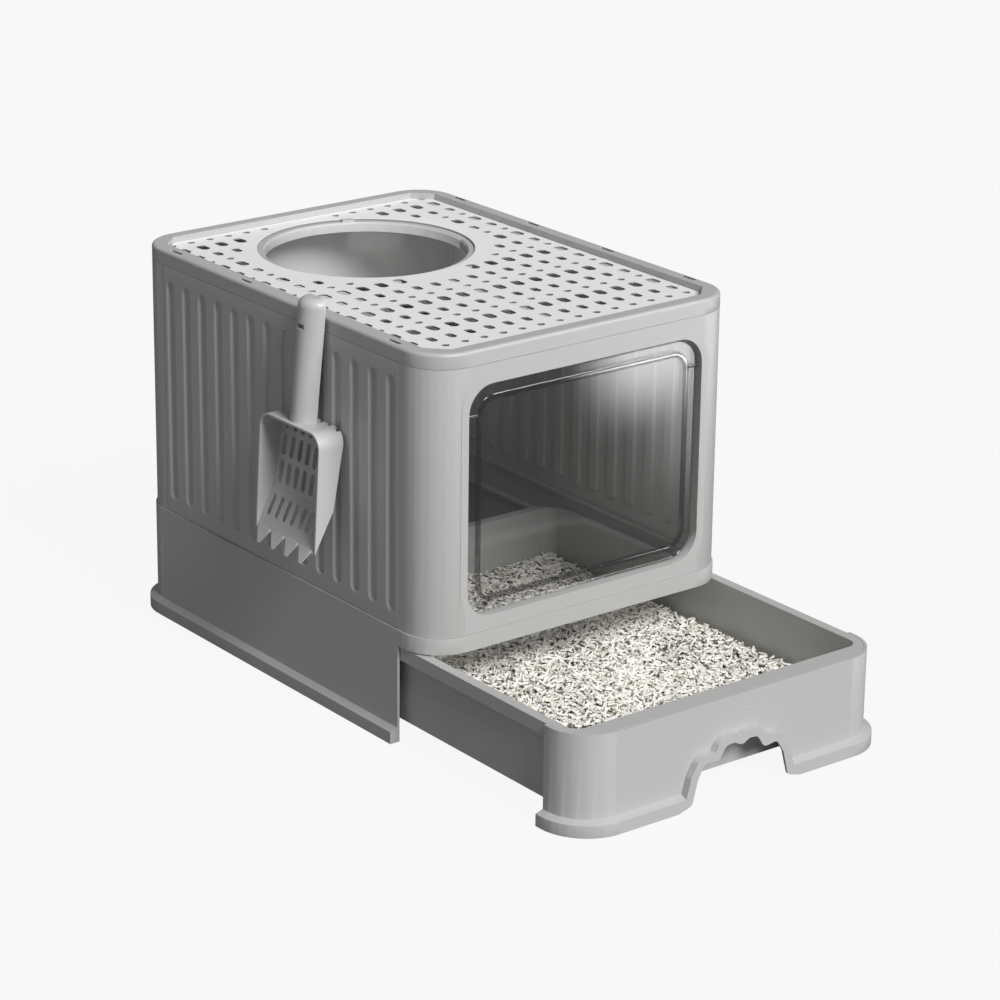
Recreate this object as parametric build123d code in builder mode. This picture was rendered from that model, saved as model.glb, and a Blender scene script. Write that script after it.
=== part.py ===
"""Drawer litter box with a top exit: a rounded housing whose wide front drawer holds the litter.

Frame: origin on the floor under the middle of the housing, front towards -Y, left side towards -X, +Z up.
At rest the drawer stands pulled out by drawer_pull. All sizes are in millimetres.
"""

import os
from math import atan2, cos, degrees, hypot, radians, sin

from build123d import *

# walls and levels of the housing
body_width = 356.0
body_depth = 484.0
body_corner = 40.0
total_height = 380.0
base_height = 111.0
cover_height = 14.5
wall = 3.0
base_step = 1.5
base_wall = 2.5
seam = 0.3
return_flat = 7.0
ledge_reach = 5.0
ledge_thickness = 3.0
rail_height = 15.5

# foot flange round the housing and the drawer front
foot_reach = 8.0
foot_height = 12.0
foot_slope = 2.5

# runners that carry the drawer
runner_reach = 6.5
runner_thickness = 3.0
runner_top = 80.7
runner_back_gap = 4.0

# fluted side panels
flute_count = 14
flute_margin = 13.0
flute_width = 12.0
flute_depth = 3.0
flute_skin = 1.6
flute_bottom = 126.5
flute_top_gap = 15.0
lap_reach = 3.8
lap_thickness = 1.3
lug_width = 14.0
lug_depth = 4.0
lug_thickness = 1.8
lug_spread = 0.6

# window and door flap
window_side = 42.0
window_bottom = 125.0
window_top = 346.0
window_corner = 27.0
surround_width = 8.0
surround_depth = 11.0
door_gap = 3.0
door_thickness = 3.0
door_setback = 4.0
door_axis_drop = 30.0
bead_inset = 12.0
bead_width = 9.0
bead_height = 1.4
pin_radius = 1.5
pin_reach = 10.0
pin_grip = 10.0
pin_boss_wall = 1.2
bush_wall = 1.5
turning_fit = 0.06
press_fit = 0.02

# top cover, grate and exit collar
rim_width = 15.0
rim_skin = 2.5
rim_round = 3.5
recess_depth = 6.0
recess_chamfer = 18.0
shelf_width = 13.0
shelf_thickness = 6.0
skirt_depth = 8.0
skirt_thickness = 2.0
slot_length = 20.0
slot_width = 3.5
slot_inset = 6.0
slot_depth = 12.0
slot_places = (-178.5, -58.0, 58.0, 178.5)
grate_thickness = 1.6
grate_column_pitch = 21.7
grate_columns = 15
grate_band = 69.3
grate_first_row = -12.0
long_hole = (17.0, 10.0)
middle_hole = (14.0, 8.0)
short_hole_radius = 3.8
hole_steps = (0.0, 42.0, 21.0)
grate_edge = 3.0
exit_centre = 103.4
exit_radius = 106.5
exit_margin = 11.5
exit_lip = 0.6
collar_bore = 99.3
collar_wall = 3.0
collar_length = 7.0
collar_flange = 11.0
collar_flange_thickness = 2.8
collar_nub_angle = 64.5
collar_nub_width = 12.0
collar_nub_reach = 5.5
collar_nub_height = 2.2
collar_chamfer = 1.8
bar_width = 8.0
bar_spread = 76.0
cross_bar_place = -96.0

# drawer
drawer_pull = 213.0
front_wall = 2.7
drawer_top = 94.0
tray_side_gap = 0.3
tray_back_gap = 3.0
tray_rim_thickness = 2.5
tray_rim_side = 10.0
tray_rim_front = 19.3
tray_skirt_height = 13.0
tray_skirt_wall = 2.0
tray_wall = 2.5
tray_floor = 18.0
tray_corner = 12.0
floor_gap = 0.3
litter_level = 46.0
litter_gap = 0.3
stud_radius = 1.5
stud_height = 77.0
stud_spread = 28.0
stud_proud = 0.2
notch_corners = ((76.0, -1.0), (56.5, 4.5), (50.0, 29.0), (42.0, 41.5), (26.5, 39.5), (18.5, 52.0),
                 (9.0, 52.8), (0.0, 48.3))
notch_round = 6.0
notch_band = 8.5
flange_skin = 2.5

# scoop
scoop_gap = 1.3
scoop_wall = 2.0
bowl_width = 97.0
bowl_drop = 100.5
bowl_height = 113.5
bowl_depth_top = 28.7
bowl_depth_bottom = 34.7
bowl_knee_drop = 75.0
bowl_knee_shift = 13.7
bowl_corner = 15.0
tooth_count = 4
tooth_pitch = 22.5
tooth_width = 17.0
tooth_length = 12.5
tooth_tip = 2.0
sieve_columns = 7
sieve_pitch = 12.5
sieve_length = 21.0
sieve_width = 6.6
sieve_rows = 3
sieve_row_pitch = 26.0
handle_foot = (14.5, 17.0)
handle_head = (16.7, 16.6)
handle_foot_gap = 8.2
handle_lean = 3.5
hook_offset = 7.3
handle_rise = 17.0
handle_round = 9.0
handle_wall = 2.4
hook_width = 14.0
hook_rise = 9.0
hook_fit = 0.35
hang_hole = (10.0, 4.6)
hang_hole_drop = 9.0

# worked out from the sizes above
half_width = body_width / 2
half_depth = body_depth / 2
cover_seam = total_height - cover_height
split_depth = half_depth - body_corner - return_flat
flute_pitch = 2 * (split_depth - flute_margin) / (flute_count - 1)
flute_top = cover_seam - flute_top_gap
bowl_top = total_height - bowl_drop
bowl_knee = bowl_top - bowl_knee_drop
bowl_bottom = bowl_top - bowl_height
handle_top = total_height + handle_rise
hang_hole_height = total_height - hang_hole_drop
base_half_width = half_width + base_step
base_half_depth = half_depth + base_step
base_inner = base_step - base_wall
panel_bottom = base_height + seam
panel_top = cover_seam - seam
panel_height = panel_top - panel_bottom
shelf_top = total_height - recess_depth - grate_thickness - seam
recess_half_width = half_width - rim_width
recess_half_depth = half_depth - rim_width
window_width = body_width - 2 * window_side
window_height = window_top - window_bottom
window_centre = (window_top + window_bottom) / 2
door_face = -half_depth + door_setback
door_axis = (door_face + door_thickness / 2, window_top - door_axis_drop)
door_width = window_width - 2 * door_gap
door_height = window_height - 2 * door_gap
bush_outer = pin_radius + turning_fit + bush_wall
tray_half_width = base_half_width - front_wall - tray_side_gap
tray_inner_half = tray_half_width - tray_rim_side
tray_outer_half = tray_inner_half + tray_wall
tray_back = half_depth + base_inner - tray_back_gap
tray_front = -base_half_depth + front_wall + tray_side_gap
well_front = tray_front + tray_rim_front
well_back = tray_back - tray_rim_side
scoop_place = slot_places[1] - hook_offset
scoop_back = -half_width - scoop_gap


def plan(grow, height, pull=0.0):
    """Outline of the walls from above, grown outwards, at a height, shifted forwards by a pull."""
    with BuildSketch(Plane((0, -pull, height))) as outline:
        RectangleRounded(body_width + 2 * grow, body_depth + 2 * grow, body_corner + grow)
    return outline.sketch


def block(x_range, y_range, z_range):
    """Plain box between two values on each axis."""
    with BuildPart(mode=Mode.PRIVATE) as solid:
        with BuildSketch(Plane.XY.offset(z_range[0])) as outline:
            with Locations((sum(x_range) / 2, sum(y_range) / 2)):
                Rectangle(x_range[1] - x_range[0], y_range[1] - y_range[0])
        extrude(amount=z_range[1] - z_range[0])
    return solid.part


def wall_ring(outer, inner, bottom, top, pull=0.0):
    """Closed wall that follows the plan outline between two offsets and two heights."""
    with BuildPart(mode=Mode.PRIVATE) as solid:
        extrude(plan(outer, bottom, pull), amount=top - bottom)
        extrude(plan(inner, bottom, pull), amount=top - bottom, mode=Mode.SUBTRACT)
    return solid.part


def foot_ring(bottom, pull=0.0):
    """Foot flange: an upright edge with a gently sloping top that ends at the wall."""
    outer = base_step + foot_reach
    slope_end = foot_height + foot_slope
    with BuildPart(mode=Mode.PRIVATE) as solid:
        extrude(plan(outer, bottom, pull), amount=foot_height - bottom)
        loft([plan(outer, foot_height, pull), plan(base_step, slope_end, pull)])
        extrude(plan(base_inner, bottom, pull), amount=slope_end, mode=Mode.SUBTRACT)
    return solid.part


def recess_plan(grow, height):
    """Outline of the recess in the cover: a rectangle with chamfered corners."""
    with BuildSketch(Plane.XY.offset(height)) as outline:
        Rectangle(2 * (recess_half_width + grow), 2 * (recess_half_depth + grow))
        chamfer(outline.vertices(), length=recess_chamfer)
    return outline.sketch


def disc(radius, height):
    """Disc round the axis of the exit."""
    with BuildSketch(Plane((0, exit_centre, height))) as outline:
        Circle(radius)
    return outline.sketch


def lug_places(length):
    """Middles of the two locating lugs along a panel's lower edge."""
    return (-lug_spread * length / 2, lug_spread * length / 2)


everything = 2 * (body_depth + drawer_pull)
front_zone = block((-everything, everything), (-everything, -split_depth), (-1, total_height))
back_zone = block((-everything, everything), (split_depth, everything), (-1, total_height))
side_lug_x = half_width - wall / 2 - 0.5
end_lug_y = half_depth - wall / 2 - 0.5

# Base housing: side and back walls with a foot flange, a rail bridging the drawer, and a top ledge.
with BuildPart() as base_housing:
    add(wall_ring(base_step, base_inner, 0, base_height))
    add(wall_ring(base_step, base_inner - ledge_reach, base_height - ledge_thickness, base_height))
    add(foot_ring(0))
    add(block((-everything, everything), (-everything, -split_depth), (-1, base_height - rail_height)),
        mode=Mode.SUBTRACT)
    for side in (-1, 1):
        for place in lug_places(2 * split_depth):
            with Locations((side * side_lug_x, place, base_height)):
                Box(lug_thickness + seam, lug_width + 2 * seam, 3 * lug_depth, mode=Mode.SUBTRACT)
        for place in lug_places(body_width - 2 * body_corner):
            with Locations((place, side * end_lug_y, base_height)):
                Box(lug_width + 2 * seam, lug_thickness + seam, 3 * lug_depth, mode=Mode.SUBTRACT)
base_housing.part.label = "base_housing"


def runner(side):
    """Straight ledge inside a side wall on which the tray's skirt slides."""
    outer = half_width + base_inner
    far = half_depth + base_inner - body_corner - runner_back_gap
    near = -split_depth + runner_back_gap
    with BuildPart() as strip:
        with BuildSketch(Plane.XY.offset(runner_top - runner_thickness)) as outline:
            with Locations((side * (outer - runner_reach / 2), (near + far) / 2)):
                Rectangle(runner_reach, far - near)
        extrude(amount=runner_thickness)
        chamfer(strip.edges().filter_by(Axis.Z).group_by(Axis.Y)[0], length=runner_thickness)
    return strip.part


runner_left = runner(-1)
runner_left.label = "runner_left"
runner_right = runner(1)
runner_right.label = "runner_right"


def end_shell(zone):
    """Front or back wall with its rounded returns, half-lapped where the side panels begin."""
    side = -1 if zone is front_zone else 1
    with BuildPart(mode=Mode.PRIVATE) as shell:
        add(wall_ring(0, -wall, panel_bottom, panel_top))
        add(zone, mode=Mode.INTERSECT)
        for across in (-1, 1):
            inner = across * (half_width - wall + lap_thickness / 2)
            middle = side * (split_depth - lap_reach / 2 + 1)
            with Locations((inner, middle, (panel_top + panel_bottom) / 2)):
                Box(lap_thickness, lap_reach + 2, panel_height)
        for place in lug_places(body_width - 2 * body_corner):
            with Locations((place, side * end_lug_y, panel_bottom)):
                Box(lug_width, lug_thickness, 2 * lug_depth)
    return shell.part


def window_sketch(grow, setback):
    """Rounded window outline, grown outwards, at a distance behind the front face."""
    with BuildSketch(Plane.XZ.offset(half_depth - setback)) as outline:
        with Locations((0, window_centre)):
            RectangleRounded(window_width + 2 * grow, window_height + 2 * grow, window_corner + grow)
    return outline.sketch


# Front panel: rounded corner returns and a deep surround round the window, bored for the door bushes.
with BuildPart() as front_panel:
    add(end_shell(front_zone))
    extrude(window_sketch(surround_width, 0), amount=-surround_depth)
    extrude(window_sketch(0, 0), amount=-surround_depth, mode=Mode.SUBTRACT)
    with BuildSketch(Plane.YZ) as bush_seat:
        with Locations(door_axis):
            Circle(bush_outer + press_fit)
    extrude(amount=window_width / 2 + surround_width + 1, both=True, mode=Mode.SUBTRACT)
front_panel.part.label = "front_panel"

# Back panel: plain wall with the same returns.
with BuildPart() as back_panel:
    add(end_shell(back_zone))
back_panel.part.label = "back_panel"


def side_panel(side):
    """Flat side wall with vertical flutes pressed inwards, standing on the base ledge."""
    length = 2 * (split_depth - seam)
    middle = (flute_top + flute_bottom) / 2
    flute_height = flute_top - flute_bottom
    first = -(flute_count - 1) / 2 * flute_pitch
    places = [(first + number * flute_pitch, middle) for number in range(flute_count)]
    outside = side * half_width
    inside = side * (half_width - wall)
    ridge = flute_depth + flute_skin - wall
    with BuildPart() as panel:
        with BuildSketch(Plane.YZ.offset(outside)) as plate:
            with Locations((0, (panel_top + panel_bottom) / 2)):
                Rectangle(length, panel_height)
        extrude(amount=-side * wall)
        with BuildSketch(Plane.YZ.offset(inside)) as ridges:
            with Locations(places):
                SlotOverall(flute_height + 2 * flute_skin, flute_width + 2 * flute_skin, rotation=90)
        extrude(amount=-side * ridge)
        with BuildSketch(Plane.YZ.offset(outside)) as flutes:
            with Locations(places):
                SlotOverall(flute_height, flute_width, rotation=90)
        extrude(amount=-side * flute_depth, mode=Mode.SUBTRACT)
        for end in (-1, 1):
            with Locations((inside, end * split_depth, middle)):
                Box(2 * (lap_thickness + seam), 2 * (lap_reach + seam), 2 * panel_height, mode=Mode.SUBTRACT)
        for place in lug_places(2 * split_depth):
            with Locations((side * side_lug_x, place, panel_bottom)):
                Box(lug_thickness, lug_width, 2 * lug_depth)
    return panel.part


left_side_panel = side_panel(-1)
left_side_panel.label = "left_side_panel"
right_side_panel = side_panel(1)
right_side_panel.label = "right_side_panel"


def door_bush(side):
    """Flush bearing bush in the side of the window surround."""
    inner_end = window_width / 2
    with BuildPart() as bush:
        with BuildSketch(Plane.YZ.offset(side * inner_end)) as ring:
            with Locations(door_axis):
                Circle(bush_outer)
                Circle(pin_radius + turning_fit, mode=Mode.SUBTRACT)
        extrude(amount=side * surround_width)
    return bush.part


door_bush_left = door_bush(-1)
door_bush_left.label = "door_bush_left"
door_bush_right = door_bush(1)
door_bush_right.label = "door_bush_right"

# Door flap: a clear sheet with a raised bead frame and a boss for a pin near each upper corner.
with BuildPart() as door_flap:
    with BuildSketch(Plane.XZ.offset(-door_face)) as sheet:
        with Locations((0, window_centre)):
            RectangleRounded(door_width, door_height, window_corner - door_gap)
    extrude(amount=-door_thickness)
    with BuildSketch(Plane.XZ.offset(-door_face)) as bead:
        with Locations((0, window_centre)):
            for inset, mode in ((bead_inset - bead_width / 2, Mode.ADD), (bead_inset + bead_width / 2, Mode.SUBTRACT)):
                bead_corner = window_corner - door_gap - inset / 2
                RectangleRounded(door_width - 2 * inset, door_height - 2 * inset, bead_corner, mode=mode)
    extrude(amount=bead_height)
    for side in (-1, 1):
        with BuildSketch(Plane.YZ.offset(side * door_width / 2)) as boss:
            with Locations(door_axis):
                Circle(pin_radius + pin_boss_wall)
        extrude(amount=-side * (pin_grip + 1))
        with BuildSketch(Plane.YZ.offset(side * door_width / 2)) as bore:
            with Locations(door_axis):
                Circle(pin_radius + press_fit)
        extrude(amount=-side * pin_grip, mode=Mode.SUBTRACT)
door_flap.part.label = "door_flap"


def door_pin(side):
    """Hinge pin held in the flap and turning in its bush."""
    with BuildPart() as pin:
        with BuildSketch(Plane.YZ.offset(side * (door_width / 2 - pin_grip + press_fit))) as outline:
            with Locations(door_axis):
                Circle(pin_radius)
        extrude(amount=side * (pin_grip + pin_reach - press_fit))
    return pin.part


door_pin_left = door_pin(-1)
door_pin_left.label = "door_pin_left"
door_pin_right = door_pin(1)
door_pin_right.label = "door_pin_right"

# Top cover: hollow rim round a recess, a shelf and bars under the grate, and a skirt inside the panels.
with BuildPart() as top_cover:
    rim_bottom = shelf_top - shelf_thickness
    add(wall_ring(0, -wall, cover_seam, total_height))
    extrude(plan(0, total_height - rim_skin), amount=rim_skin)
    extrude(recess_plan(rim_skin, rim_bottom), amount=total_height - rim_bottom)
    extrude(recess_plan(0, shelf_top), amount=recess_depth + grate_thickness + 1, mode=Mode.SUBTRACT)
    add(wall_ring(-wall - seam, -wall - seam - skirt_thickness, cover_seam - skirt_depth, total_height - rim_skin))
    extrude(recess_plan(-shelf_width, rim_bottom), amount=shelf_thickness, mode=Mode.SUBTRACT)
    with BuildSketch(Plane.XY.offset(rim_bottom)) as bars:
        for place in (-bar_spread, 0, bar_spread):
            with Locations((place, 0)):
                Rectangle(bar_width, 2 * recess_half_depth)
        for place in (cross_bar_place, exit_centre):
            with Locations((0, place)):
                Rectangle(2 * recess_half_width, bar_width)
        with Locations((0, exit_centre)):
            Circle(collar_bore + collar_flange + bar_width)
    extrude(amount=shelf_thickness)
    flange_seat = shelf_top - collar_flange_thickness - press_fit
    extrude(disc(collar_bore + collar_flange + seam, flange_seat), amount=everything / 2, mode=Mode.SUBTRACT)
    extrude(disc(collar_bore + collar_wall + seam, rim_bottom), amount=everything / 2, mode=Mode.SUBTRACT)
    with BuildSketch(Plane.XY.offset(total_height)) as slots:
        for side in (-1, 1):
            for place in slot_places:
                with Locations((side * (half_width - slot_inset), place)):
                    SlotOverall(slot_length, slot_width, rotation=90)
    extrude(amount=-slot_depth, mode=Mode.SUBTRACT)
    fillet(top_cover.faces().sort_by(Axis.Z)[-1].outer_wire().edges(), radius=rim_round)
top_cover.part.label = "top_cover"

# Exit collar: short tube under the round hole, hung from a flange that carries a nub beside the bore.
with BuildPart() as exit_collar:
    flange_bottom = shelf_top - collar_flange_thickness
    extrude(disc(collar_bore + collar_flange, flange_bottom), amount=collar_flange_thickness)
    extrude(disc(collar_bore + collar_wall, flange_bottom - collar_length), amount=collar_length)
    extrude(disc(collar_bore, flange_bottom - collar_length), amount=collar_length + 9, mode=Mode.SUBTRACT)
    top_edges = exit_collar.edges().filter_by(GeomType.CIRCLE).group_by(Axis.Z)[-1]
    chamfer(top_edges.sort_by(SortBy.RADIUS)[0], length=collar_chamfer)
    with BuildSketch(Plane((0, exit_centre, shelf_top - 1))) as nub:
        nub_place = exit_radius - seam - collar_nub_reach / 2
        with PolarLocations(nub_place, 1, start_angle=collar_nub_angle):
            Rectangle(collar_nub_reach, collar_nub_width)
    extrude(amount=1 + collar_nub_height)
exit_collar.part.label = "exit_collar"


def clear_of_exit(x, y):
    """True where a grate hole stays outside the plain border of the round exit."""
    return hypot(x, y - exit_centre) > exit_radius + exit_margin


def grate_rows():
    """Centre and kind of each row of grate holes: long, middle and short, repeating along the depth."""
    rows = []
    half_lengths = (long_hole[0] / 2, middle_hole[0] / 2, short_hole_radius)
    for band in range(-4, 5):
        for kind, step in enumerate(hole_steps):
            place = grate_first_row + band * grate_band + step
            if abs(place) + half_lengths[kind] + grate_edge < recess_half_depth:
                rows.append((place, kind))
    return rows


# Top grate: flat plate with rows of rounded holes in three sizes and the round exit with a softened lip.
with BuildPart() as top_grate:
    extrude(recess_plan(-seam, shelf_top + seam), amount=grate_thickness)
    extrude(disc(exit_radius, shelf_top), amount=2 * grate_thickness, mode=Mode.SUBTRACT)
    chamfer(top_grate.edges().filter_by(GeomType.CIRCLE).group_by(Axis.Z)[-1], length=exit_lip)
    with BuildSketch(Plane.XY.offset(shelf_top + seam)) as holes:
        for row, kind in grate_rows():
            for column in range(grate_columns):
                x = (column - (grate_columns - 1) / 2) * grate_column_pitch
                if clear_of_exit(x, row):
                    with Locations((x, row)):
                        if kind == 0:
                            SlotOverall(*long_hole, rotation=90)
                        elif kind == 1:
                            SlotOverall(*middle_hole, rotation=90)
                        else:
                            Circle(short_hole_radius)
    extrude(amount=grate_thickness, mode=Mode.SUBTRACT)
top_grate.part.label = "top_grate"


def well(grow, height, top):
    """Space inside the tray, grown outwards on every side, between two heights."""
    with BuildPart(mode=Mode.PRIVATE) as solid:
        with BuildSketch(Plane((0, -drawer_pull, height))) as outline:
            with Locations((0, (well_front + well_back) / 2)):
                width = 2 * (tray_inner_half + grow)
                RectangleRounded(width, well_back - well_front + 2 * grow, tray_corner + grow)
        extrude(amount=top - height)
    return solid.part


# Drawer tray: deep well under a flat rim whose skirt slides on the runners.
with BuildPart() as drawer_tray:
    rim_grow = tray_half_width - half_width
    rim_bottom = drawer_top - tray_rim_thickness
    trim = tray_back - (half_depth + rim_grow)
    with BuildSketch(Plane((0, -drawer_pull + trim / 2, rim_bottom))) as rim:
        RectangleRounded(2 * tray_half_width, 2 * (half_depth + rim_grow) + trim, body_corner + rim_grow)
    extrude(amount=tray_rim_thickness)
    extrude(rim.sketch, amount=tray_rim_thickness - tray_skirt_height)
    with BuildSketch(Plane((0, -drawer_pull + trim / 2, drawer_top - tray_skirt_height))) as skirt_space:
        skirt_inset = 2 * tray_skirt_wall
        skirt_corner = body_corner + rim_grow - tray_skirt_wall
        skirt_width = 2 * tray_half_width - skirt_inset
        RectangleRounded(skirt_width, 2 * (half_depth + rim_grow) + trim - skirt_inset, skirt_corner)
    extrude(amount=tray_skirt_height - tray_rim_thickness, mode=Mode.SUBTRACT)
    add(well(tray_wall, tray_floor, drawer_top - tray_rim_thickness / 2))
    add(well(0, tray_floor + tray_wall, drawer_top + 1), mode=Mode.SUBTRACT)
    with BuildSketch(Plane.XZ.offset(-well_front + drawer_pull + front_wall)) as stud_bores:
        with Locations((-stud_spread / 2, stud_height), (stud_spread / 2, stud_height)):
            Circle(stud_radius + press_fit)
    extrude(amount=-2 * front_wall - tray_wall, mode=Mode.SUBTRACT)
drawer_tray.part.label = "drawer_tray"


def notch_sketch(grow, setback):
    """Lobed opening at the foot of the drawer front, grown outwards, at a distance from the front face."""
    with BuildSketch(Plane.XZ.offset(base_half_depth + drawer_pull - setback)) as outline:
        with BuildLine():
            Polyline(notch_corners)
            mirror(about=Plane.YZ)
            Line((-notch_corners[0][0], notch_corners[0][1]), notch_corners[0])
        make_face()
        fillet(outline.vertices().filter_by(lambda corner: corner.Y > 0), radius=notch_round)
        if grow > 0:
            offset(amount=grow)
    return outline.sketch


# Drawer front: wrap-round face with a foot flange that rises in a band over a lobed notch.
with BuildPart() as drawer_front:
    add(wall_ring(base_step, base_step - front_wall, floor_gap, drawer_top, drawer_pull))
    add(foot_ring(floor_gap, drawer_pull))
    extrude(notch_sketch(notch_band, -foot_reach), amount=-foot_reach - front_wall)
    extrude(notch_sketch(0, -foot_reach - 1), amount=-2 * foot_reach - front_wall, mode=Mode.SUBTRACT)
    extrude(notch_sketch(notch_band - flange_skin, flange_skin - foot_reach), amount=-2 * foot_reach,
            mode=Mode.SUBTRACT)
    open_edge = -split_depth - 2 * seam - drawer_pull
    add(block((-everything, everything), (-everything, open_edge), (floor_gap, drawer_top)), mode=Mode.INTERSECT)
    with BuildSketch(Plane.XZ.offset(base_half_depth + drawer_pull + 1)) as stud_holes:
        with Locations((-stud_spread / 2, stud_height), (stud_spread / 2, stud_height)):
            Circle(stud_radius + press_fit)
    extrude(amount=-front_wall - 2, mode=Mode.SUBTRACT)
drawer_front.part.label = "drawer_front"


def front_stud(side):
    """Round stud that holds the drawer front to the tray."""
    with BuildPart() as stud:
        with BuildSketch(Plane.XZ.offset(base_half_depth + drawer_pull + stud_proud)) as outline:
            with Locations((side * stud_spread / 2, stud_height)):
                Circle(stud_radius)
        extrude(amount=-(well_front + base_half_depth + stud_proud))
    return stud.part


front_stud_left = front_stud(-1)
front_stud_left.label = "front_stud_left"
front_stud_right = front_stud(1)
front_stud_right.label = "front_stud_right"

# Litter: the filling of the tray up to its level.
with BuildPart() as litter_bed:
    add(well(-litter_gap, tray_floor + tray_wall + litter_gap, litter_level))
litter_bed.part.label = "litter_bed"


def bowl_side(inset, overrun):
    """Side view of the scoop's bowl, drawn in X and Z, inset by a wall and run past the open side."""
    back = scoop_back - inset
    knee = scoop_back - bowl_knee_shift - inset
    slope = (bowl_depth_bottom - bowl_knee_shift) / (bowl_knee - bowl_bottom)
    rim_top = scoop_back - bowl_depth_top
    rim_bottom = scoop_back - bowl_depth_bottom
    top = bowl_top - inset
    tip_z = bowl_bottom - overrun / slope
    with BuildSketch(Plane.XZ) as outline:
        with BuildLine():
            Polyline((back, top), (rim_top - overrun, top), (rim_bottom - overrun, tip_z),
                     (knee, bowl_knee), close=True)
        make_face()
    return outline.sketch


def bowl_solid(inset, overrun, corner):
    """Bowl swept across its width, with rounded upper corners."""
    with BuildPart(mode=Mode.PRIVATE) as solid:
        extrude(bowl_side(inset, overrun), amount=bowl_width / 2 - inset, both=True)
        upper = solid.edges().filter_by(Axis.X).group_by(Axis.Z)[-1]
        fillet(upper, radius=corner)
    return solid.part.moved(Location((0, scoop_place, 0)))


def handle_section(size, height, gap, lean):
    """Half-round section of the handle, flat side towards the wall."""
    half, depth = size
    with BuildSketch(Plane((scoop_back - gap, scoop_place - lean, height))) as outline:
        Ellipse(depth, half)
        with Locations((depth, 0)):
            Rectangle(2 * depth, 4 * half, mode=Mode.SUBTRACT)
    return outline.sketch


def handle_solid(shrink, past, bottom, top, rounding):
    """Handle leaning towards the wall as it rises, with a domed end; shrunk, and run past its flat back."""
    share = (top - bowl_top) / (handle_top - bowl_top)
    half = handle_foot[0] + (handle_head[0] - handle_foot[0]) * share - shrink
    depth = handle_foot[1] + (handle_head[1] - handle_foot[1]) * share - shrink + past
    foot = (handle_foot[0] - shrink, handle_foot[1] - shrink + past)
    with BuildPart(mode=Mode.PRIVATE) as solid:
        lower = handle_section(foot, bottom, handle_foot_gap - past, 0)
        upper = handle_section((half, depth), top, handle_foot_gap * (1 - share) - past, handle_lean * share)
        loft([lower, upper], ruled=True)
        rim_edges = solid.faces().sort_by(Axis.Z)[-1].edges().filter_by(GeomType.LINE, reverse=True)
        fillet(rim_edges, radius=rounding)
    return solid.part


# Scoop: slotted bowl with teeth, hung by the hook of its channel handle in a slot of the cover.
with BuildPart() as scoop:
    add(handle_solid(0, 0, bowl_top - scoop_wall, handle_top, handle_round))
    inner_top = handle_top - 2 * handle_wall
    channel_round = handle_round - handle_wall
    add(handle_solid(handle_wall, 1.0, bowl_top - 2 * scoop_wall, inner_top, channel_round), mode=Mode.SUBTRACT)
    add(bowl_solid(0, 0, bowl_corner))
    add(bowl_solid(scoop_wall, 6.0, bowl_corner - scoop_wall), mode=Mode.SUBTRACT)
    ramp_run = bowl_depth_bottom - bowl_knee_shift
    ramp_fall = bowl_knee - bowl_bottom
    ramp_normal = Vector(-ramp_fall, 0, ramp_run).normalized()
    lip_point = Vector(scoop_back - bowl_depth_bottom, scoop_place, bowl_bottom)
    ramp_plane = Plane(origin=lip_point, x_dir=(0, 1, 0), z_dir=ramp_normal)
    with BuildSketch(ramp_plane) as teeth:
        for number in range(tooth_count):
            centre = ((tooth_count - 1) / 2 - number) * tooth_pitch
            reach = ramp_plane.to_local_coords(lip_point + Vector(-ramp_run, 0, -ramp_fall)).Y
            down = -1 if reach < 0 else 1
            with BuildLine():
                Polyline((centre - tooth_width / 2, -down * 3), (centre - tooth_width / 2, 0),
                         (centre - tooth_tip / 2, down * tooth_length),
                         (centre + tooth_tip / 2, down * tooth_length),
                         (centre + tooth_width / 2, 0), (centre + tooth_width / 2, -down * 3), close=True)
            make_face()
    extrude(amount=scoop_wall)
    back_lean = atan2(bowl_knee_shift, bowl_top - bowl_knee)
    floor_normal = Vector(-cos(back_lean), 0, sin(back_lean))
    knee_point = Vector(scoop_back - bowl_knee_shift, scoop_place, bowl_knee)
    floor_plane = Plane(origin=knee_point, x_dir=(0, 1, 0), z_dir=floor_normal)
    with BuildSketch(floor_plane) as sieve:
        upwards = 1 if floor_plane.y_dir.Z > 0 else -1
        for row in range(sieve_rows):
            place = upwards * (sieve_length / 2 + 4 + row * sieve_row_pitch)
            with Locations((0, place)):
                with GridLocations(sieve_pitch, 1, sieve_columns, 1):
                    SlotOverall(sieve_length, sieve_width, rotation=90)
    extrude(amount=2 * scoop_wall, both=True, mode=Mode.SUBTRACT)
    with BuildSketch(ramp_plane) as ramp_sieve:
        middle = hypot(ramp_run, ramp_fall) / 2 + 3
        with Locations((0, -down * middle)):
            with GridLocations(sieve_pitch, 1, sieve_columns, 1):
                SlotOverall(sieve_length, sieve_width, rotation=90)
    extrude(amount=2 * scoop_wall, both=True, mode=Mode.SUBTRACT)
    slot_x = -half_width + slot_inset
    tongue = slot_width / 2 - hook_fit
    hook_top = total_height + hook_rise
    hook_y = (slot_places[1] - hook_width / 2, slot_places[1] + hook_width / 2)
    add(block((scoop_back - 5, slot_x + tongue), hook_y, (total_height + seam, hook_top)))
    add(block((slot_x - tongue, slot_x + tongue), hook_y, (total_height - slot_depth / 2, hook_top)))
    with Locations((scoop_back - handle_head[1], scoop_place - handle_lean, hang_hole_height)):
        Box(2 * handle_head[1], hang_hole[0], hang_hole[1], mode=Mode.SUBTRACT)
scoop.part.label = "scoop"

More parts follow.
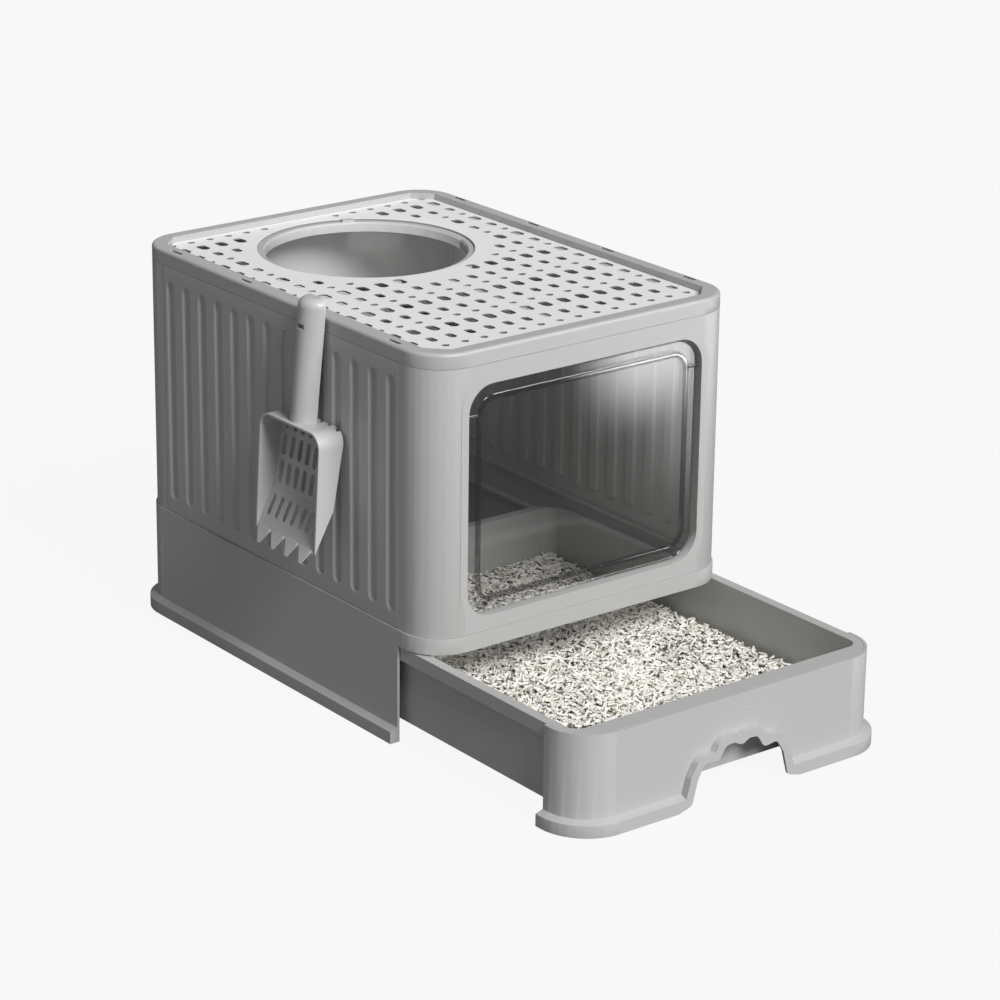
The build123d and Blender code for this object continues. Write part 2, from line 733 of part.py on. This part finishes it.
os.makedirs("parts", exist_ok=True)
pieces = [base_housing.part, runner_left, runner_right, front_panel.part, back_panel.part,
          left_side_panel, right_side_panel, door_bush_left, door_bush_right,
          door_flap.part, door_pin_left, door_pin_right,
          top_cover.part, exit_collar.part, top_grate.part,
          drawer_tray.part, drawer_front.part, front_stud_left, front_stud_right, litter_bed.part,
          scoop.part]
for piece in pieces:
    export_step(piece, "parts/" + piece.label + ".step")
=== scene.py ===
"""Drawer litter box, dressed for pictures.

Moulded grey housing, white top grate, smoked flap and a full drawer.
"""
from math import cos, pi, radians, sin

import bmesh
import bpy
import numpy as np
from mathutils import Matrix, Vector


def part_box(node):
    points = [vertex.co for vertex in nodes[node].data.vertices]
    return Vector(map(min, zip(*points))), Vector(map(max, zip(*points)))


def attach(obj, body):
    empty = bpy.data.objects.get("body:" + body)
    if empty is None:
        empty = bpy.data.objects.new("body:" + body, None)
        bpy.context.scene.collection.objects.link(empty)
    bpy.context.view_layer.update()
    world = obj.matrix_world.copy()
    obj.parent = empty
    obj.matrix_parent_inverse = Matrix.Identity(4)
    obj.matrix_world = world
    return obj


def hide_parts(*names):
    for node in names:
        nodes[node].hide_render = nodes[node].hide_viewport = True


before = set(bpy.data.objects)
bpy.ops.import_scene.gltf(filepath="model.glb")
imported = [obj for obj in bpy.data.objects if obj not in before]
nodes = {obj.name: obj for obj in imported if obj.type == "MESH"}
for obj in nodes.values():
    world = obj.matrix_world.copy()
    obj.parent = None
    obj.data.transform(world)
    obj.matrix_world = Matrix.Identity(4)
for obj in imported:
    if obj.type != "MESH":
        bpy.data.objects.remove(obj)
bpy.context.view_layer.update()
scene = bpy.context.scene

# Camera: a long lens a little above the box, looking at its front left corner with the drawer to the right.
# The frame is shifted so that the box sits as it does in the photograph.
MM = 0.001
camera_data = bpy.data.cameras.new("camera")
camera_data.lens = 121.08
camera_data.sensor_width = 36.0
camera_data.shift_x = 0.1236
camera_data.shift_y = -0.0632
camera = bpy.data.objects.new("camera", camera_data)
camera.location = (-1.8536, -2.4771, 1.2682)
camera.rotation_euler = (radians(71.052), 0, radians(-35.874))
scene.collection.objects.link(camera)
scene.camera = camera

# Housing: a base with a foot flange, two plain end panels with rounded returns, runners for the drawer.
# All are moulded in one satin grey.


class Tone:
    """One value on its way through a material, so that shader maths reads as plain arithmetic."""

    def __init__(self, finish, socket):
        self.finish = finish
        self.socket = socket

    def maths(self, operation, first, second):
        return self.finish.node("ShaderNodeMath", {"operation": operation}, first, second)

    def __add__(self, other):
        return self.maths("ADD", self, other)

    def __sub__(self, other):
        return self.maths("SUBTRACT", self, other)

    def __rsub__(self, other):
        return self.maths("SUBTRACT", other, self)

    def __mul__(self, other):
        return self.maths("MULTIPLY", self, other)

    __radd__ = __add__
    __rmul__ = __mul__


class Finish:
    """A material being made: it adds nodes and joins them to one plastic-like shader."""

    def __init__(self, name):
        self.material = bpy.data.materials.new(name)
        self.material.use_nodes = True
        self.tree = self.material.node_tree
        self.tree.nodes.clear()
        self.shader = self.tree.nodes.new("ShaderNodeBsdfPrincipled")
        self.output = self.tree.nodes.new("ShaderNodeOutputMaterial")
        self.tree.links.new(self.shader.outputs[0], self.output.inputs[0])

    def feed(self, socket, value):
        if isinstance(value, Tone):
            self.tree.links.new(value.socket, socket)
        else:
            socket.default_value = value

    def node(self, kind, settings, *inputs, output=0, **named):
        made = self.tree.nodes.new(kind)
        for key, value in settings.items():
            setattr(made, key, value)
        for place, value in enumerate(inputs):
            self.feed(made.inputs[place], value)
        for key, value in named.items():
            self.feed(made.inputs[key], value)
        return Tone(self, made.outputs[output])

    def place(self):
        return self.node("ShaderNodeTexCoord", {}, output=3)

    def noise(self, scale, detail, roughness=0.5):
        return self.node("ShaderNodeTexNoise", {}, Vector=self.place(), Scale=scale, Detail=detail,
                         Roughness=roughness)

    def blend(self, factor, first, second):
        return self.node("ShaderNodeMix", {"data_type": "RGBA"}, factor, output=2, A=first, B=second)

    def bump(self, height, strength, distance):
        return self.node("ShaderNodeBump", {}, Height=height, Strength=strength, Distance=distance)

    def surface(self, **inputs):
        for key, value in inputs.items():
            self.feed(self.shader.inputs[key.replace("_", " ")], value)
        return self.material


# Noise of plastic, as scale, detail and roughness: clouds in the colour, fine grain, and scuffs in the sheen.
CLOUD = (7.0, 4.0)
GRAIN = (900.0, 2.0)
SCUFF = (60.0, 5.0, 0.65)
GRAIN_DEPTH = 0.0004


def moulded(name, colour, shade, roughness, grain):
    """Injection moulded plastic: faint cloudiness in the colour, uneven sheen and a fine grain."""
    finish = Finish(name)
    cloud = finish.noise(*CLOUD)
    fine = finish.noise(*GRAIN)
    scuff = finish.noise(*SCUFF)
    tint = finish.blend(cloud * 0.7 + scuff * 0.3, (*shade, 1), (*colour, 1))
    return finish.surface(Base_Color=tint, Roughness=roughness - 0.06 + scuff * 0.12,
                          Normal=finish.bump(fine, grain, GRAIN_DEPTH))


def soften(piece, width):
    """Rounds the moulded edges of a piece without touching its own mesh."""
    weld = piece.modifiers.new("weld", "WELD")
    weld.merge_threshold = 0.000002
    flat = piece.modifiers.new("flat", "DECIMATE")
    flat.decimate_type = "DISSOLVE"
    flat.angle_limit = radians(0.5)
    edge = piece.modifiers.new("edge", "BEVEL")
    edge.width = width
    edge.segments = 3
    edge.limit_method = "ANGLE"
    edge.angle_limit = radians(35)
    edge.use_clamp_overlap = True
    edge.harden_normals = True


def dress(piece, material):
    """Gives a piece one material."""
    piece.data.materials.clear()
    piece.data.materials.append(material)


MOULD_ROUND = 0.8 * MM
grey_plastic = moulded("satin grey plastic", (0.505, 0.51, 0.50), (0.47, 0.475, 0.468), 0.42, 0.05)
for name in ("base_housing", "front_panel", "back_panel", "runner_left", "runner_right"):
    dress(nodes[name], grey_plastic)
    soften(nodes[name], MOULD_ROUND)
for name in ("door_bush_left", "door_bush_right"):
    dress(nodes[name], grey_plastic)

# Side walls: flat grey panels with upright flutes pressed inwards, which stiffen them.
# Each flute has sloping flanks and rounded ends, and shows as a ridge on the inner face.
FLUTES = 14
FLUTE_MARGIN = 13.0 * MM
FLUTE_HALF = 6.0 * MM
FLUTE_DEPTH = 3.0 * MM
FLUTE_FLANK = 3.4 * MM
FLUTE_LOW = 126.5 * MM
FLUTE_HIGH = 350.5 * MM
WALL = 3.0 * MM
RIDGE = 2.2 * MM
LAP_REACH = 4.1 * MM
LAP_DEPTH = 1.6 * MM
LAP_EDGE = 0.02 * MM
LUG_HEIGHT = 4.0 * MM
LUG_SIZE = (1.8 * MM, 14.0 * MM, 8.0 * MM)
LUG_PLACE = 117.0 * MM
LUG_INSET = 2.0 * MM
STEP = 0.8 * MM
STEPS = 10
EDGE_ROUND = 1.0 * MM


def ease(values):
    """Smooth rise from 0 to 1."""
    clipped = np.clip(values, 0, 1)
    return clipped * clipped * (3 - 2 * clipped)


def grid_faces(rows, columns, flip):
    """Quads between the points of a grid that is stored row by row."""
    first = (np.arange(rows - 1)[:, None] * columns + np.arange(columns - 1)[None, :]).ravel()
    faces = np.stack([first, first + 1, first + columns + 1, first + columns], axis=1)
    return faces[:, ::-1] if flip else faces


def rim_faces(rows, columns, flip):
    """Quads between the rims of two such grids, the second stored after the first."""
    count = rows * columns
    numbers = np.arange(count).reshape(rows, columns)
    rim = np.concatenate([numbers[0, :-1], numbers[:-1, -1], numbers[-1, :0:-1], numbers[:0:-1, 0]])
    after = np.roll(rim, -1)
    faces = np.stack([rim, rim + count, after + count, after], axis=1)
    return faces[:, ::-1] if flip else faces


def make_piece(name, points, faces, body, smooth=True):
    """New piece from points and faces, riding on a body."""
    mesh = bpy.data.meshes.new(name)
    mesh.from_pydata(points, [], faces)
    mesh.validate()
    mesh.polygons.foreach_set("use_smooth", [smooth] * len(mesh.polygons))
    piece = bpy.data.objects.new(name, mesh)
    scene.collection.objects.link(piece)
    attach(piece, body)
    return piece


def keep_sharp(piece, angle):
    """Shades edges that turn by more than an angle as sharp ones."""
    sharp = piece.modifiers.new("sharp", "EDGE_SPLIT")
    sharp.split_angle = radians(angle)


def fluted_panel(name, node, side):
    """Side wall as a closed sheet between its pressed outer face and its ridged inner face."""
    low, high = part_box(node)
    bottom = low[2] + LUG_HEIGHT
    pitch = 2 * (high[1] - FLUTE_MARGIN) / (FLUTES - 1)
    middles = (np.arange(FLUTES) - (FLUTES - 1) / 2) * pitch
    spread = np.arange(-STEPS, STEPS + 1) * STEP
    border = np.array([0, 0.35, 0.7, 1.0]) * EDGE_ROUND
    lap = np.array([LAP_REACH - LAP_EDGE, LAP_REACH + LAP_EDGE])
    across = np.concatenate([low[1] + border, high[1] - border, low[1] + lap, high[1] - lap,
                             (middles[:, None] + spread).ravel()])
    end_low = FLUTE_LOW + FLUTE_HALF
    end_high = FLUTE_HIGH - FLUTE_HALF
    upwards = np.concatenate([bottom + border, high[2] - border, end_low + spread, end_high + spread])
    across = np.unique(np.round(across, 6))
    upwards = np.unique(np.round(upwards, 6))
    place, height = np.meshgrid(across, upwards)
    sideways = np.abs(place[..., None] - middles).min(axis=-1)
    beyond = np.maximum(np.maximum(end_low - height, height - end_high), 0)
    distance = np.hypot(sideways, beyond)
    flute = ease((FLUTE_HALF + FLUTE_FLANK / 4 - distance) / FLUTE_FLANK)
    ridge = ease((FLUTE_HALF + FLUTE_FLANK / 2 - distance) / (FLUTE_FLANK * 0.7))
    to_side = np.minimum(place - low[1], high[1] - place)
    to_edge = np.minimum(to_side, np.minimum(height - bottom, high[2] - height))
    rounding = (1 - np.clip(to_edge / EDGE_ROUND, 0, 1)) ** 2 * EDGE_ROUND / 2
    outside = FLUTE_DEPTH * flute + rounding
    inside = WALL + RIDGE * ridge
    inside = np.where(to_side < LAP_REACH, WALL - LAP_DEPTH, inside)
    face = high[0] if side > 0 else low[0]
    points = [np.stack([face - side * depth, place, height], axis=-1).reshape(-1, 3)
              for depth in (outside, inside)]
    rows, columns = place.shape
    faces = np.concatenate([grid_faces(rows, columns, side < 0),
                            grid_faces(rows, columns, side > 0) + rows * columns,
                            rim_faces(rows, columns, side < 0)])
    panel = make_piece(name, np.concatenate(points).tolist(), faces.tolist(), "housing")
    shape = bmesh.new()
    shape.from_mesh(panel.data)
    for lug in (-1, 1):
        middle = Vector((face - side * LUG_INSET, lug * LUG_PLACE, bottom))
        bmesh.ops.create_cube(shape, size=1, matrix=Matrix.LocRotScale(middle, None, Vector(LUG_SIZE)))
    bmesh.ops.recalc_face_normals(shape, faces=shape.faces)
    shape.to_mesh(panel.data)
    shape.free()
    keep_sharp(panel, 50)
    dress(panel, grey_plastic)
    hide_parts(node)


fluted_panel("side_wall_left", "left_side_panel", -1)
fluted_panel("side_wall_right", "right_side_panel", 1)

# Cover: a grey rim with hanging slots, and under it the collar of the round exit.
# The white grate lies loose in the recess.
# Its colour darkens just below the top face, on the walls of its holes: painted shade in the holes.
SHADE_LOW = 0.35 * MM
SHADE_HIGH = 0.15 * MM
for name in ("top_cover", "exit_collar"):
    dress(nodes[name], grey_plastic)
    soften(nodes[name], MOULD_ROUND)
grate_finish = Finish("white grate plastic")
grate_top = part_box("top_grate")[1][2]
grate_level = grate_finish.node("ShaderNodeSeparateXYZ", {}, grate_finish.place(), output=2)
# Painted shade: the colour goes dark below the top face, inside the holes.
painted_hole_shade = grate_finish.node("ShaderNodeMapRange", {}, grate_level, grate_top - SHADE_LOW,
                           grate_top - SHADE_HIGH)
grate_cloud = grate_finish.noise(*CLOUD)
grate_grain = grate_finish.noise(*GRAIN)
milky = grate_finish.blend(grate_cloud, (0.90, 0.90, 0.89, 1), (0.94, 0.94, 0.93, 1))
grate_finish.surface(Base_Color=grate_finish.blend(painted_hole_shade, (0.30, 0.30, 0.295, 1), milky),
                     Roughness=0.34 + grate_cloud * 0.1,
                     Normal=grate_finish.bump(grate_grain, 0.04, GRAIN_DEPTH))
dress(nodes["top_grate"], grate_finish.material)
soften(nodes["top_grate"], 0.2 * MM)

# Flap: a smoked clear sheet, 3 mm thick, with a raised half-round bead a little inside its edge.
# Two dark pins in small bosses hold it in the window surround, so that it swings both ways.
SHEET_THICKNESS = 3.0 * MM
SHEET_CORNER = 24.0 * MM
SHEET_ROUND = 0.8 * MM
BEAD_INSET = 12.0 * MM
BEAD_HALF = 3.2 * MM
BEAD_HEIGHT = 1.4 * MM
BEAD_CORNER = 17.0 * MM
BEAD_SUNK = 0.05 * MM
BEAD_STEPS = 9
CORNER_STEPS = 10
BOSS_RADIUS = 2.7 * MM
BOSS_LENGTH = 11.0 * MM
AXLE_DROP = 27.0 * MM
flap_low, flap_high = (np.array(corner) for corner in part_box("door_flap"))
flap_half = (flap_high - flap_low)[[0, 2]] / 2
flap_middle = (flap_high[2] + flap_low[2]) / 2
sheet_front = flap_high[1] - SHEET_THICKNESS


def frame_loop(inset, corner, depth):
    """Points round a rounded rectangle inside the flap's outline, at a place along the depth."""
    quarter = np.linspace(0, pi / 2, CORNER_STEPS)
    half = flap_half - inset - corner
    points = []
    for turn, (across, up) in enumerate(((1, 1), (-1, 1), (-1, -1), (1, -1))):
        angle = quarter + turn * pi / 2
        x = across * half[0] + corner * np.cos(angle)
        z = flap_middle + up * half[1] + corner * np.sin(angle)
        points.append(np.stack([x, np.full(CORNER_STEPS, depth), z], axis=1))
    return np.concatenate(points)


def lofted(name, loops, capped):
    """Closed form through loops of equal length, either capped at both ends or joined round."""
    count = len(loops[0])
    around = np.arange(count)
    after = np.roll(around, -1)
    faces = []
    for number in range(len(loops) - 1 if capped else len(loops)):
        this = number * count
        beyond = (number + 1) % len(loops) * count
        faces += np.stack([around + this, after + this, after + beyond, around + beyond], axis=1).tolist()
    if capped:
        faces += [around[::-1].tolist(), (around + (len(loops) - 1) * count).tolist()]
    return make_piece(name, np.concatenate(loops).tolist(), faces, "door")


sheet_back = flap_high[1]
profile = ((SHEET_ROUND, sheet_front), (0, sheet_front + SHEET_ROUND), (0, sheet_back - SHEET_ROUND),
           (SHEET_ROUND, sheet_back))
sheet_loops = [frame_loop(inset, SHEET_CORNER - inset, depth) for inset, depth in profile]
sheet = lofted("flap_sheet", sheet_loops, True)
bead_loops = []
for turn in np.linspace(0, pi, BEAD_STEPS):
    inset = BEAD_INSET - BEAD_HALF * cos(turn)
    bead_loops.append(frame_loop(inset, BEAD_CORNER + BEAD_INSET - inset,
                                 sheet_front - BEAD_SUNK - (BEAD_HEIGHT - BEAD_SUNK) * sin(turn)))
bead = lofted("flap_bead", bead_loops, False)
sheet_shape = bmesh.new()
sheet_shape.from_mesh(sheet.data)
for side in (-1, 1):
    place = Vector((side * (flap_half[0] - BOSS_LENGTH / 2), (sheet_front + sheet_back) / 2,
                    flap_high[2] - AXLE_DROP))
    bmesh.ops.create_cone(sheet_shape, cap_ends=True, segments=24, radius1=BOSS_RADIUS, radius2=BOSS_RADIUS,
                          depth=BOSS_LENGTH,
                          matrix=Matrix.Translation(place) @ Matrix.Rotation(pi / 2, 4, "Y"))
bmesh.ops.recalc_face_normals(sheet_shape, faces=sheet_shape.faces)
sheet_shape.to_mesh(sheet.data)
sheet_shape.free()


def smoked(name, opacity):
    """Smoked clear plastic, see-through by its alpha, with a fine haze that keeps its gloss uneven."""
    finish = Finish(name)
    haze = finish.noise(26.0, 4.0, 0.6)
    return finish.surface(Base_Color=(0.012, 0.012, 0.013, 1), Roughness=0.03 + haze * 0.05, IOR=2.4,
                          Alpha=opacity)


for piece, opacity in ((sheet, 0.22), (bead, 0.42)):
    dress(piece, smoked(piece.name.replace("_", " "), opacity))
    keep_sharp(piece, 30)
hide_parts("door_flap")
pin_plastic = moulded("dark pin plastic", (0.07, 0.07, 0.07), (0.05, 0.05, 0.05), 0.4, 0.03)
for name in ("door_pin_left", "door_pin_right"):
    dress(nodes[name], pin_plastic)

# Drawer: a deep tray whose rim rides on the runners, and a wrap-round front with a lobed notch.
# Both are moulded in the housing's grey, and two small studs sit above the notch.
for name, rounding in (("drawer_tray", 0.9 * MM), ("drawer_front", 1.5 * MM)):
    dress(nodes[name], grey_plastic)
    soften(nodes[name], rounding)
for name in ("front_stud_left", "front_stud_right"):
    dress(nodes[name], grey_plastic)
    soften(nodes[name], 0.4 * MM)

# Litter: short pressed rods, poured loose into the tray, pale with dark gaps between them.
# The rods lie in a few layers on the settled bed below them, and their colour darkens with depth: painted
# shade for the gaps.
ROD_COUNT = 16000
ROD_SIDES = 4
ROD_RADIUS = (1.0 * MM, 1.35 * MM)
ROD_LENGTH = (4.5 * MM, 9.0 * MM)
ROD_TILT = 0.35
ROD_PROUD = 0.3 * MM
BED_DROP = 4.5 * MM
BED_CORNER = 12.0 * MM
HEAP = 1.5 * MM
GAP_SHADE_BELOW_BED = 1.0 * MM
GAP_SHADE_BELOW_TOP = 0.6 * MM
SPECKS = (0.38, 0.62)
rods = np.random.default_rng(31)
bed_low, bed_high = (np.array(corner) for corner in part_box("litter_bed"))


def heap(x, y):
    """Gentle hills of the poured litter above its mean level, as waves in radians per metre."""
    return HEAP * (np.sin(x * 31 + 1.2) * np.cos(y * 23) + 0.6 * np.sin(x * 57 - y * 47))


def rod_points():
    """Points of every rod, a ring at each end, at random places and headings."""
    reach = ROD_LENGTH[1] / 2
    middle = rods.uniform(bed_low + reach, bed_high - reach, (ROD_COUNT, 3))
    level = rods.uniform(-BED_DROP, ROD_PROUD, ROD_COUNT)
    middle[:, 2] = bed_high[2] + level + heap(middle[:, 0], middle[:, 1])
    heading = rods.uniform(0, 2 * pi, ROD_COUNT)
    tilt = rods.normal(0, ROD_TILT, ROD_COUNT)
    length = rods.uniform(*ROD_LENGTH, ROD_COUNT)[:, None]
    radius = rods.uniform(*ROD_RADIUS, ROD_COUNT)[:, None, None]
    along = np.stack([np.cos(heading) * np.cos(tilt), np.sin(heading) * np.cos(tilt), np.sin(tilt)], axis=1)
    beside = np.stack([-np.sin(heading), np.cos(heading), np.zeros(ROD_COUNT)], axis=1)
    above = np.cross(along, beside)
    turn = np.arange(ROD_SIDES) * 2 * pi / ROD_SIDES
    ring = radius * (beside[:, None] * np.cos(turn)[:, None] + above[:, None] * np.sin(turn)[:, None])
    start = middle - along * length / 2
    end = middle + along * length / 2
    return np.concatenate([start[:, None] + ring, end[:, None] + ring], axis=1)


def bed_mesh(cells=40):
    """Settled bed under the rods: a closed block with a hilly top."""
    x, y = np.meshgrid(np.linspace(bed_low[0], bed_high[0], cells),
                       np.linspace(bed_low[1], bed_high[1], cells))
    half = (bed_high[0] - bed_low[0]) / 2
    inset_x = np.maximum(np.abs(x) - (half - BED_CORNER), 0)
    centre_y = (bed_low[1] + bed_high[1]) / 2
    inset_y = np.maximum(np.abs(y - centre_y) - ((bed_high[1] - bed_low[1]) / 2 - BED_CORNER), 0)
    span = np.maximum(np.hypot(inset_x, inset_y) / BED_CORNER, 1)
    x = x - np.sign(x) * inset_x * (1 - 1 / span)
    y = y - np.sign(y - centre_y) * inset_y * (1 - 1 / span)
    top = np.stack([x, y, bed_high[2] - BED_DROP + heap(x, y)], axis=-1).reshape(-1, 3)
    base = np.stack([x, y, np.full_like(x, bed_low[2])], axis=-1).reshape(-1, 3)
    faces = np.concatenate([grid_faces(cells, cells, False), grid_faces(cells, cells, True) + cells * cells,
                            rim_faces(cells, cells, True)])
    return np.concatenate([top, base]), faces


bed_points, bed_quads = bed_mesh()
every_rod = rod_points()
rod_size = every_rod.shape[1]
offsets = (np.arange(ROD_COUNT) * rod_size + len(bed_points))[:, None, None]
rod_sides = [(number, (number + 1) % ROD_SIDES, (number + 1) % ROD_SIDES + ROD_SIDES, number + ROD_SIDES)
             for number in range(ROD_SIDES)]
rod_faces = np.array([*rod_sides, range(ROD_SIDES - 1, -1, -1), range(ROD_SIDES, 2 * ROD_SIDES)])
rod_quads = (rod_faces[None] + offsets).reshape(-1, 4)
litter_points = np.concatenate([bed_points, every_rod.reshape(-1, 3)])
litter_faces = np.concatenate([bed_quads, rod_quads])
litter = make_piece("litter", litter_points.tolist(), litter_faces.tolist(), "drawer", smooth=False)
pellets = Finish("pale pressed litter")
height = pellets.node("ShaderNodeSeparateXYZ", {}, pellets.place(), output=2)
# Painted shade: the colour goes dark towards the bed and the low ends of the rods, for the gaps between them.
painted_gap_shade = pellets.node("ShaderNodeMapRange", {}, height, bed_high[2] - BED_DROP - GAP_SHADE_BELOW_BED,
                      bed_high[2] - GAP_SHADE_BELOW_TOP)
each = pellets.noise(140.0, 1.0)
speck = pellets.node("ShaderNodeMapRange", {}, each, *SPECKS)
tint = pellets.blend(speck, (0.76, 0.73, 0.66, 1), (0.93, 0.91, 0.87, 1))
chalk = pellets.noise(1400.0, 2.0)
pellets.surface(Base_Color=pellets.blend(painted_gap_shade, (0.28, 0.26, 0.22, 1), tint), Roughness=0.78 + chalk * 0.14,
                Normal=pellets.bump(chalk, 0.3, 0.0003))
dress(litter, pellets.material)
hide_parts("litter_bed")

# Scoop: one moulding, a slotted bowl with teeth on a hollow handle.
# It is a paler grey than the housing, and hangs on the left side of the cover.
scoop_plastic = moulded("pale grey plastic", (0.56, 0.565, 0.555), (0.53, 0.535, 0.525), 0.4, 0.04)
dress(nodes["scoop"], scoop_plastic)
soften(nodes["scoop"], 0.5 * MM)

# Floor: a grey sheet that looks nearly white to the camera and keeps a faint soft shadow.
# In glossy surfaces it shows one bright patch to the right of the drawer, the softbox that glazes the flap.
FLOOR_REACH = 6.0
FLOOR_DROP = 0.5 * MM
PATCH_START = 0.238
PATCH_SLANT = 0.727
PATCH_RISE = (0.56, 0.82)
PATCH_SPREAD = (0.05, 0.17)
PATCH_GLOW = 9.0
MIRROR_DIP = 0.85
CAMERA_SHARE = 0.92


def square(name, half):
    """Flat square of the stage round its own origin."""
    mesh = bpy.data.meshes.new(name)
    corners = [(-half, -half, 0), (half, -half, 0), (half, half, 0), (-half, half, 0)]
    mesh.from_pydata(corners, [], [(0, 1, 2, 3)])
    flat = bpy.data.objects.new(name, mesh)
    scene.collection.objects.link(flat)
    return flat


floor = square("floor", FLOOR_REACH)
floor.location.z = -FLOOR_DROP
paper = Finish("white paper")
paper.surface(Base_Color=(0.26, 0.26, 0.26, 1), Roughness=0.9)
seen = paper.node("ShaderNodeLightPath", {})
mirrored = paper.node("ShaderNodeLightPath", {}, output=3)
through = paper.node("ShaderNodeLightPath", {}, output=6)
out = paper.node("ShaderNodeSeparateXYZ", {}, paper.place(), output=1) * -1.0 - PATCH_START
along = paper.node("ShaderNodeSeparateXYZ", {}, paper.place()) - out * PATCH_SLANT
rise = paper.node("ShaderNodeMapRange", {"interpolation_type": "SMOOTHSTEP"}, out, *PATCH_RISE)
spread = paper.node("ShaderNodeMapRange", {"interpolation_type": "SMOOTHSTEP"}, along, *PATCH_SPREAD)
glow = paper.node("ShaderNodeEmission", {}, (1, 1, 1, 1),
                  mirrored * (rise * spread * PATCH_GLOW - MIRROR_DIP) + 1.0)
share = paper.node("ShaderNodeMath", {"operation": "ADD", "use_clamp": True}, seen * CAMERA_SHARE,
                   mirrored + through)
lit = paper.node("ShaderNodeMixShader", {}, share, Tone(paper, paper.shader.outputs[0]), glow)
paper.tree.links.new(lit.socket, paper.output.inputs[0])
dress(floor, paper.material)

# Light: one large soft lamp from straight ahead and above, a dim even sky,
# and two faint lamps in the cabin, under the exit and beside the flap, that show its walls.
# A card that only glossy surfaces see draws the bright line along the flap's bead.
CARD_HALF = 0.45
CARD_DISTANCE = 2.2
CARD_GLOW = 9.0
sun_data = bpy.data.lights.new("key", "SUN")
sun_data.energy = 3.4
sun_data.angle = radians(26)
sun = bpy.data.objects.new("key", sun_data)
sun.rotation_euler = Vector((0.0, -0.76, 0.65)).to_track_quat("Z", "Y").to_euler()
scene.collection.objects.link(sun)


def faint_lamp(name, size, energy, place, way, spread=180):
    """Small round lamp for the cabin's walls, itself unseen."""
    data = bpy.data.lights.new(name, "AREA")
    data.shape = "DISK"
    data.size = size
    data.energy = energy
    data.spread = radians(spread)
    lamp = bpy.data.objects.new(name, data)
    lamp.location = place
    lamp.rotation_euler = Vector(way).to_track_quat("Z", "Y").to_euler()
    lamp.visible_camera = False
    lamp.visible_glossy = False
    scene.collection.objects.link(lamp)


faint_lamp("exit lamp", 0.16, 0.05, (0.03, 0.10, 0.345), (-0.35, -0.9, 0.12), 150)
faint_lamp("cabin lamp", 0.06, 0.06, (0.10, -0.205, 0.24), (-0.45, -0.9, 0.1))

card = square("card", CARD_HALF)
card_way = Vector((0.556, -0.568, 0.601))
card.location = Vector((0.05, -0.24, 0.34)) + card_way * CARD_DISTANCE
card.rotation_euler = card_way.to_track_quat("Z", "Y").to_euler()
for ray in ("camera", "diffuse", "transmission", "volume_scatter", "shadow"):
    setattr(card, "visible_" + ray, False)
white_card = Finish("white card")
card_glow = white_card.node("ShaderNodeEmission", {}, (1, 1, 1, 1), CARD_GLOW)
white_card.tree.links.new(card_glow.socket, white_card.output.inputs[0])
dress(card, white_card.material)

world = bpy.data.worlds.new("sky")
scene.world = world
world.use_nodes = True
sky = world.node_tree.nodes["Background"]
sky.inputs["Color"].default_value = (1, 1, 1, 1)
sky.inputs["Strength"].default_value = 0.17
view_ray = world.node_tree.nodes.new("ShaderNodeLightPath")
plain = world.node_tree.nodes.new("ShaderNodeBackground")
both = world.node_tree.nodes.new("ShaderNodeMixShader")
world.node_tree.links.new(view_ray.outputs["Is Camera Ray"], both.inputs[0])
world.node_tree.links.new(sky.outputs[0], both.inputs[1])
world.node_tree.links.new(plain.outputs[0], both.inputs[2])
plain.inputs["Color"].default_value = (1, 1, 1, 1)
plain.inputs["Strength"].default_value = 1.0
world.node_tree.links.new(both.outputs[0], world.node_tree.nodes["World Output"].inputs[0])
scene.view_settings.view_transform = "Standard"
